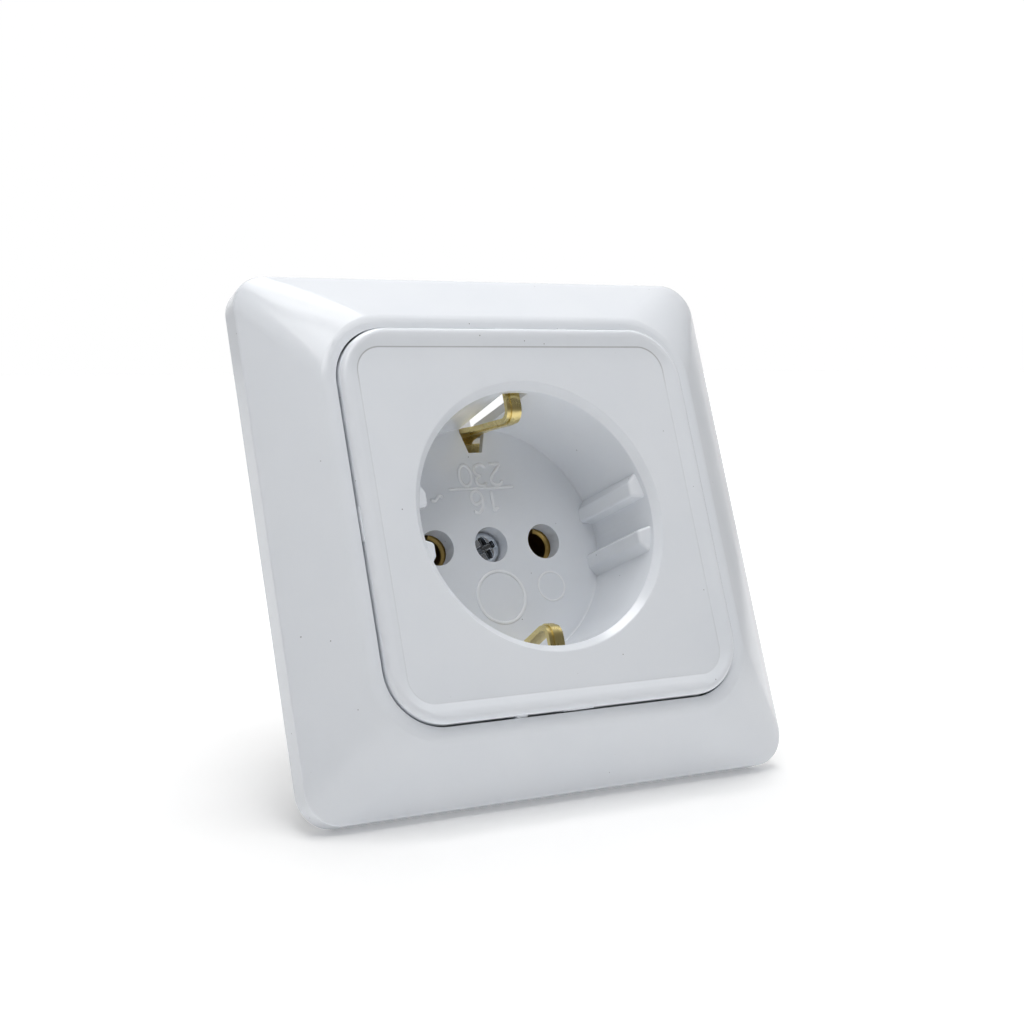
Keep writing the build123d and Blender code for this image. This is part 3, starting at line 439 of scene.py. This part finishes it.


# %% [markdown]
# ## White moulded plastic
# The frame and the centre plate are glossy white thermoplastic. Close up it is not one white: the resin is
# a touch blue, the gloss is a little uneven from the mould, and dust has settled on it as fine dark specks.
# Specks are cells: each cell has one point, and a speck is what lies within a tenth of a millimetre of a
# point near the skin. The plate also has a fine dark line where its raised edge meets the flat panel,
# partly dust and partly painted shade of that crease, with more painted shade along the top. The raised
# marks get a lighter tint, a painted highlight for the light that raised lines catch.

# %% Specks, gloss and the white plastic
PLASTIC_WHITE, PLASTIC_DEEP = (0.865, 0.893, 0.935, 1), (0.845, 0.876, 0.922, 1)
# The marks' lighter tint is a painted highlight: the same plastic, lighter for the light raised lines catch.
MARK_PAINTED_LIGHT, MARK_PAINTED_LIGHT_DEEP = (0.955, 0.975, 1.0, 1), (0.935, 0.955, 0.985, 1)
SPECK_CELL = 3.6 * MM
SPECK_SIZE = 0.034
# Dust specks, and the grey of the line round the panel: partly dust, partly painted shade.
SPECK_GREY, GRIME_AND_SHADE_GREY = grey(0.10, 0.9), grey(0.30, 0.98)
CLOUD_SIZE, PEEL_SIZE, PEEL_DEPTH = 14 * MM, 1.1 * MM, 0.004 * MM
PANEL_HALF = 26.35 * MM
PANEL_CORNER = 4.0 * MM
PANEL_Y = -12.0 * MM
# The line round the panel: partly dust, partly painted shade of the crease; the top range and weight add
# painted shade along the top.
GRIME_SHADE_CORE, GRIME_SHADE_EDGE, GRIME_SHADE_PATCH = 0.02 * MM, 0.16 * MM, 6 * MM
TOP_SHADE_RANGE = (18 * MM, 26 * MM)
GRIME_SHADE_FRONT = (PANEL_Y + 0.2 * MM, PANEL_Y + 0.4 * MM)
GRIME_SHADE_ROUND, TOP_SHADE_WEIGHT = 0.22, 0.5


def specks(place):
    """1 inside a dust speck and 0 outside: distance to the cell's point below SPECK_SIZE, in cells."""
    places = {"Vector": place, "Scale": 1 / SPECK_CELL, "Randomness": 1.0}
    near = place.node("TexVoronoi", {"feature": "F1"}, places, output="Distance")
    return 1 - near.rise(SPECK_SIZE * 0.6, SPECK_SIZE)


def edge_distance(place, half, corner):
    """Distance from a rounded square in the X-Z plane: with q = |p| - (half - corner), it is
    the length of q's positive part, plus the smaller of 0 and q's larger side, less the corner radius."""
    x, _, z = place.parts()
    qx, qz = abs(x) - (half - corner), abs(z) - (half - corner)
    px, pz = qx.most(0.0), qz.most(0.0)
    return (px * px + pz * pz).root() + qx.most(qz).least(0.0) - corner


def panel_grime_and_shade(place):
    """How dark the line round the panel is, partly dust and partly painted shade of the crease: only near its
    outline and at the front, in patches, with painted shade added towards the top.
    """
    _, y, z = place.parts()
    line = 1 - abs(edge_distance(place, PANEL_HALF, PANEL_CORNER)).rise(GRIME_SHADE_CORE, GRIME_SHADE_EDGE)
    front = 1 - y.rise(*GRIME_SHADE_FRONT)
    return line * front * (GRIME_SHADE_ROUND * place.noise(GRIME_SHADE_PATCH) + TOP_SHADE_WEIGHT * z.rise(*TOP_SHADE_RANGE))


def white_plastic(name, light=PLASTIC_WHITE, deep=PLASTIC_DEEP, grime_and_shade_line=False):
    """Glossy white in soft clouds of two tints, with dust specks, uneven gloss and a faint waviness."""
    material, place, shader = start_finish(name)
    cloud = place.noise(CLOUD_SIZE)
    peel = place.noise(PEEL_SIZE, detail=2.0)
    dust = specks(place)
    shade = cloud.rise(0.3, 0.7).colour(deep, light)
    # A dark line round the panel: partly dust, partly painted shade, with painted shade strongest on top.
    if grime_and_shade_line:
        shade = panel_grime_and_shade(place).colour(shade, GRIME_AND_SHADE_GREY)
    shade = (dust * 0.75).colour(shade, SPECK_GREY)
    rough = 0.12 + 0.10 * cloud + 0.35 * dust
    feed(shader, Base_Color=shade, Roughness=rough, Normal=bump(peel, PEEL_DEPTH))
    feed(shader, IOR=1.5, Specular_IOR_Level=0.5)
    return material


finish = {
    "frame_plastic": white_plastic("white_frame_plastic"),
    # The plate gets the line of dust and painted shade round its panel.
    "plate_plastic": white_plastic("white_plate_plastic", grime_and_shade_line=True),
    # Painted highlight: the marks in a lighter tint of the plate's plastic.
    "painted_light_marks": white_plastic("painted_light_mark_finish", MARK_PAINTED_LIGHT, MARK_PAINTED_LIGHT_DEEP),
}
print("plastics:", sorted(finish))

# %% [markdown]
# ## Plastics of the hidden side
# The base is a matt off-white thermoset with a fine grain, because its mould is not polished. The cover is
# a thin plate of light grey filled plastic with a faint fleck.


# %% Base and cover plastic
MOTTLE_SIZE = 9 * MM


def grainy_plastic(name, light, deep, grain, rough, depth):
    """Matt plastic whose colour, gloss and height follow one fine noise, with a coarser mottle of colour."""
    material, place, shader = start_finish(name)
    coarse, fine = place.noise(MOTTLE_SIZE), place.noise(grain, detail=4.0, roughness=0.65)
    shade = (0.5 * coarse + 0.5 * fine).rise(0.32, 0.68).colour(deep, light)
    feed(shader, Base_Color=shade, Roughness=rough + 0.15 * fine, Normal=bump(fine, depth))
    return material


finish["base_plastic"] = grainy_plastic(
    "matt_base_plastic", grey(0.78, 0.99), grey(0.70, 0.98), 0.35 * MM, 0.42, 0.010 * MM)
finish["cover_plastic"] = grainy_plastic(
    "grey_cover_plastic", grey(0.44, 1.02), grey(0.34, 1.02), 0.5 * MM, 0.40, 0.012 * MM)
print("hidden plastics:", "base_plastic", "cover_plastic")

# %% [markdown]
# ## Rolled brass and plated steel
# Strip brass keeps fine lines from rolling, along its length, and slowly tarnishes in patches towards
# brown. The strap runs in the Y-Z plane, so its lines vary quickly along X only. Zinc plating on the steel
# is cooler, with a soft crystalline mottle. Metal gets its look from what it mirrors, so the colour stays
# simple and the roughness and a shallow bump carry the grain. The contacts are a darker, browner brass,
# partly from tarnish and partly as painted shade of the deep holes they sit in. The centre screw has
# painted shade in the depth of its cross recess.


# %% Painted shade in the recess, and metals
STREAK_SIZE, STREAK_DEPTH, PATCH_SIZE = 1 * MM, 0.0006 * MM, 4 * MM
# Near-black of the painted shade in the screw's cross recess.
RECESS_SHADE_GREY = grey(0.03)


def recess_painted_shade(place):
    """Painted shade of the screw: 1 in the depth of its cross recess and 0 on its face: deep, and within
    reach of the arms.
    """
    x, y, z = place.parts()
    inside = 1 - (x * x + z * z).root().rise(0.95 * CROSS_HALF_L, 1.05 * CROSS_HALF_L)
    return inside * y.rise(SCREW_TOP + 0.3 * CROSS_DEPTH, SCREW_TOP + 0.7 * CROSS_DEPTH)


def rolled_metal(name, bright, dull, streak_axes, rough, tarnish, painted_shade=None):
    """Metal whose streaks come from noise squeezed along one axis, with dull patches where tarnish gathers
    and, if a mask is given, painted shade where that mask is near 1."""
    material, place, shader = start_finish(name)
    streaks = place.stretched(streak_axes).noise(STREAK_SIZE, detail=2.0)
    patch = place.noise(PATCH_SIZE, detail=2.0)
    dulled = patch.rise(0.58 - tarnish, 0.58 + tarnish)
    shade = (dulled * 0.7).colour(bright, dull)
    # Painted shade: darker where the mask is near 1.
    if painted_shade:
        shade = (painted_shade(place) * 0.7).colour(shade, RECESS_SHADE_GREY)
    rough_here = rough + 0.08 * streaks + 0.10 * dulled
    feed(shader, Base_Color=shade, Roughness=rough_here, Normal=bump(streaks, STREAK_DEPTH), Metallic=1.0)
    return material


BRASS_BRIGHT, BRASS_DULL = (0.86, 0.72, 0.34, 1), (0.64, 0.50, 0.20, 1)
STEEL_BRIGHT, STEEL_DULL = (0.74, 0.76, 0.79, 1), (0.62, 0.65, 0.69, 1)
SPRING_BRIGHT, SPRING_DULL = (0.52, 0.53, 0.55, 1), (0.30, 0.31, 0.34, 1)
SCREW_BRIGHT, SCREW_DULL = (0.72, 0.75, 0.79, 1), (0.42, 0.45, 0.49, 1)
ALONG_STRIP, EVEN = (14.0, 0.5, 0.5), (3.0, 3.0, 3.0)
# The contacts' brass is darker and browner than the strap's: partly tarnish, partly painted shade of the deep
# holes they sit in.
BRASS_AGED_SHADED, BRASS_BROWN_SHADED = (0.58, 0.40, 0.13, 1), (0.28, 0.18, 0.055, 1)
finish["clip_brass"] = rolled_metal("strap_brass", BRASS_BRIGHT, BRASS_DULL, ALONG_STRIP, 0.20, 0.30)
# Contact brass: tarnish and painted shade of the holes.
finish["contact_brass"] = rolled_metal("contact_brass", BRASS_AGED_SHADED, BRASS_BROWN_SHADED, EVEN, 0.30, 0.20)
finish["spring_steel"] = rolled_metal("spring_steel", SPRING_BRIGHT, SPRING_DULL, EVEN, 0.30, 0.20)
finish["zinc_steel"] = rolled_metal("zinc_plated_steel", STEEL_BRIGHT, STEEL_DULL, EVEN, 0.28, 0.18)
# The centre screw, with painted shade in the depth of its cross recess.
finish["screw_steel"] = rolled_metal(
    "bright_screw_steel", SCREW_BRIGHT, SCREW_DULL, EVEN, 0.05, 0.14, recess_painted_shade)
print("metals:", [name for name in finish if name.endswith(("brass", "steel"))])

# %% [markdown]
# ## Dressing the pieces
# The record of the CAD model names a material slot for every node, as a parts list names a material for
# every piece. Dressing them one by one by hand would also work, but a loop over that list leaves nothing
# out. The raised marks are the plate's plastic in a lighter tint, which is painted highlight.

# %% Give every node and piece its finish
dressed = {row["node"]: row["material_slot"] for row in frame["record"]["subparts"]}
for name, slot_name in dressed.items():
    mesh = frame["nodes"][name].data
    mesh.materials.clear()
    mesh.materials.append(finish[slot_name])
for piece, look in ((well_marks, "painted_light_marks"), (screw, "screw_steel")):
    piece.data.materials.append(finish[look])
print(len(dressed), "CAD nodes and 2 new pieces have a finish")

# %% [markdown]
# ## The floor
# In the photo the socket is not on a wall. It stands on the lower edge of its frame and leans back on its
# base, on a white surface with hardly any shadow. Turning the socket would move the frame, so here the
# floor is tilted instead: a plane through the frame's lower rear edge that just touches the base. The lean
# is the smallest angle from that edge to any point of the base. The floor is seen only from above, so that
# it never hides a low view. It also glows a little, more with distance, so that it stays white out to the
# horizon; on the viewer's side, where the camera doesn't see it, the glow fades, because it would only
# flatten the front.

# %% Lean and floor
REAR_Y = 5 * MM

low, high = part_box("outer_frame")
edge = np.array([0.0, high.y, low.z])
base = frame["nodes"]["base_block"].data
corners = np.zeros(len(base.vertices) * 3, np.float32)
base.vertices.foreach_get("co", corners)
corners = corners.reshape(-1, 3).astype(float)
rear_part = corners[corners[:, 1] > REAR_Y]
lean = np.arctan2(rear_part[:, 2] - edge[2], rear_part[:, 1] - edge[1]).min()
up = Vector((0, -math.sin(lean), math.cos(lean)))
back = Vector((0, math.cos(lean), math.sin(lean)))
print("the socket leans back by", round(math.degrees(lean), 1), "degrees")

FLOOR_HALF = 3.0
reach = np.array([-FLOOR_HALF, FLOOR_HALF])
side, depth = np.meshgrid(reach, reach, indexing="ij")
floor_points = edge + side[..., None] * np.array([1.0, 0, 0]) + depth[..., None] * np.array(back)
floor_mesh = bpy.data.meshes.new("floor")
floor_mesh.from_pydata(floor_points.reshape(-1, 3), [], [(0, 2, 3, 1)])
floor = bpy.data.objects.new("floor", floor_mesh)
bpy.context.scene.collection.objects.link(floor)
print("the floor is", 2 * FLOOR_HALF, "m wide, through z =", round(edge[2] / MM, 2), "mm at the wall")

# %% The floor's white and its glow
FLOOR_WHITE = grey(0.92)
GLOW_NEAR, GLOW_MIDDLE, GLOW_FAR = 0.14, 0.46, 0.22
NEAR_RANGE, FAR_RANGE, VIEWER_RANGE = (0.03, 0.20), (0.20, 0.60), (-0.24, -0.12)

floor_finish, place, shader = start_finish("white_floor")
DISTANCE, DOT = {"operation": "DISTANCE"}, {"operation": "DOT_PRODUCT"}
from_edge = place.node("VectorMath", DISTANCE, {0: place, 1: edge.tolist()}, output="Value")
behind = place.node("VectorMath", DOT, {0: place, 1: back}, output="Value")
glow = from_edge.rise(*NEAR_RANGE, GLOW_NEAR, GLOW_MIDDLE) + from_edge.rise(*FAR_RANGE) * GLOW_FAR
glow = glow * behind.rise(*VIEWER_RANGE)
feed(shader, Base_Color=FLOOR_WHITE, Roughness=0.6, Specular_IOR_Level=0.2)
feed(shader, Emission_Color=glow.colour(grey(0.0), grey(1.0)), Emission_Strength=1.0)
below = place.node("NewGeometry", output="Backfacing")
clear = place.node("BsdfTransparent")
solid = Value(floor_finish.node_tree, shader.outputs[0])
seen = place.node("MixShader", None, {0: below, 1: solid, 2: clear})
output = floor_finish.node_tree.nodes["Material Output"]
floor_finish.node_tree.links.new(seen.socket, output.inputs["Surface"])
floor_mesh.materials.append(floor_finish)
print("the floor glows up to", round(GLOW_MIDDLE + GLOW_FAR, 2))

# %% [markdown]
# ## The light
# The photo was lit from above by wide soft lights close to the socket, in a tent that is white behind the
# socket and dim towards the viewer. Surfaces that face up are almost white, those that face the viewer are
# a light blue-grey that darkens downwards, and the background is pure white. One sky could give the soft
# shadows, but only lights at a real distance give that fall from top to bottom. So the sky is the tent, a
# smooth function of direction with a soft patch high on the right, and a few square softboxes stand round
# the socket at arm's length, each given by its elevation, its angle from the front and its power.

# %% Tent
TENT_DIM, TENT_WHITE, TENT_RIGHT = 0.14, 1.0, 0.88
WHITE_SIDE, WHITE_RANGE = (5, 157), (0.72, 0.87)
RIGHT_SIDE, RIGHT_TIGHTNESS = (60, 110), 10

world = bpy.data.worlds.new("tent")
bpy.context.scene.world = world
world.use_nodes = True
world.node_tree.nodes.clear()
direction = Value(world.node_tree).node("TexCoord", output="Generated")


def towards(elevation, azimuth):
    """The direction at these angles: azimuth 0 is the viewer's side and turns to the right, in degrees."""
    e, a = math.radians(elevation), math.radians(azimuth)
    return (-back * math.cos(a) + Vector((1, 0, 0)) * math.sin(a)) * math.cos(e) + up * math.sin(e)


def facing(axis):
    """The cosine between the sky's direction and an axis."""
    return direction.node("VectorMath", DOT, {0: direction, 1: axis}, output="Value")


def glow_round(axis, tightness):
    """A soft patch of sky: e to the power of tightness times (cosine - 1)."""
    return direction.node("Math", {"operation": "EXPONENT"}, {0: (facing(axis) - 1) * tightness})


sky = facing(towards(*WHITE_SIDE)).rise(*WHITE_RANGE, TENT_DIM, TENT_WHITE)
sky = sky + glow_round(towards(*RIGHT_SIDE), RIGHT_TIGHTNESS) * TENT_RIGHT
light = direction.node("Background", None, {"Color": (1, 1, 1, 1), "Strength": sky})
light.node("OutputWorld", None, {"Surface": light})
print("the tent goes from", TENT_DIM, "to", TENT_WHITE, "and its right patch adds up to", TENT_RIGHT)

# %% Softboxes
SOFTBOX_DISTANCE, SOFTBOX_SIZE = 0.42, 0.20
SOFTBOXES = {
    "key_left": (45, -60, 0.03),
    "key_front": (60, -25, 0.42),
    "overhead_front": (74, 0, 0.20),
    "overhead_middle": (85, 180, 0.42),
    "overhead_back": (70, 180, 0.42),
}
for name, (elevation, azimuth, watts) in SOFTBOXES.items():
    lamp = bpy.data.lights.new(name, "AREA")
    lamp.shape, lamp.size, lamp.energy = "SQUARE", SOFTBOX_SIZE, watts
    softbox = bpy.data.objects.new(name, lamp)
    bpy.context.scene.collection.objects.link(softbox)
    aim = towards(elevation, azimuth)
    softbox.location = Vector((0, PANEL_Y, 0)) + aim * SOFTBOX_DISTANCE
    softbox.rotation_mode = "QUATERNION"
    softbox.rotation_quaternion = (-aim).to_track_quat("-Z", "Y")
print("softboxes:", {name: row[2] for name, row in SOFTBOXES.items()}, "watts")

# %% [markdown]
# ## The camera
# The viewing angle was worked out from the photo's own outlines: the corners of the frame and the round rim
# of the well fix where the camera stood and how long its lens was. The camera's axes are its right, up and
# backward directions, written as the columns of its matrix.

# %% Camera
CAMERA_PLACE = Vector((-0.1234, -0.2188, -0.0535))
CAMERA_RIGHT = Vector((0.8741, -0.4539, -0.1729))
CAMERA_DOWN = Vector((-0.0461, 0.2769, -0.9598))
LENS = 58.46

camera_data = bpy.data.cameras.new("camera")
camera_data.sensor_width = 36.0
camera_data.lens = LENS
camera_data.clip_start, camera_data.clip_end = 0.01, 20.0
camera = bpy.data.objects.new("camera", camera_data)
bpy.context.scene.collection.objects.link(camera)
right = CAMERA_RIGHT.normalized()
camera_up = (-CAMERA_DOWN - right * (-CAMERA_DOWN).dot(right)).normalized()
backward = right.cross(camera_up)
turned = Matrix((right, camera_up, backward)).transposed().to_4x4()
camera.matrix_world = Matrix.Translation(CAMERA_PLACE) @ turned
bpy.context.scene.camera = camera
bpy.context.scene.view_settings.view_transform = "Standard"
print("camera looks along", tuple(round(c, 3) for c in -backward))
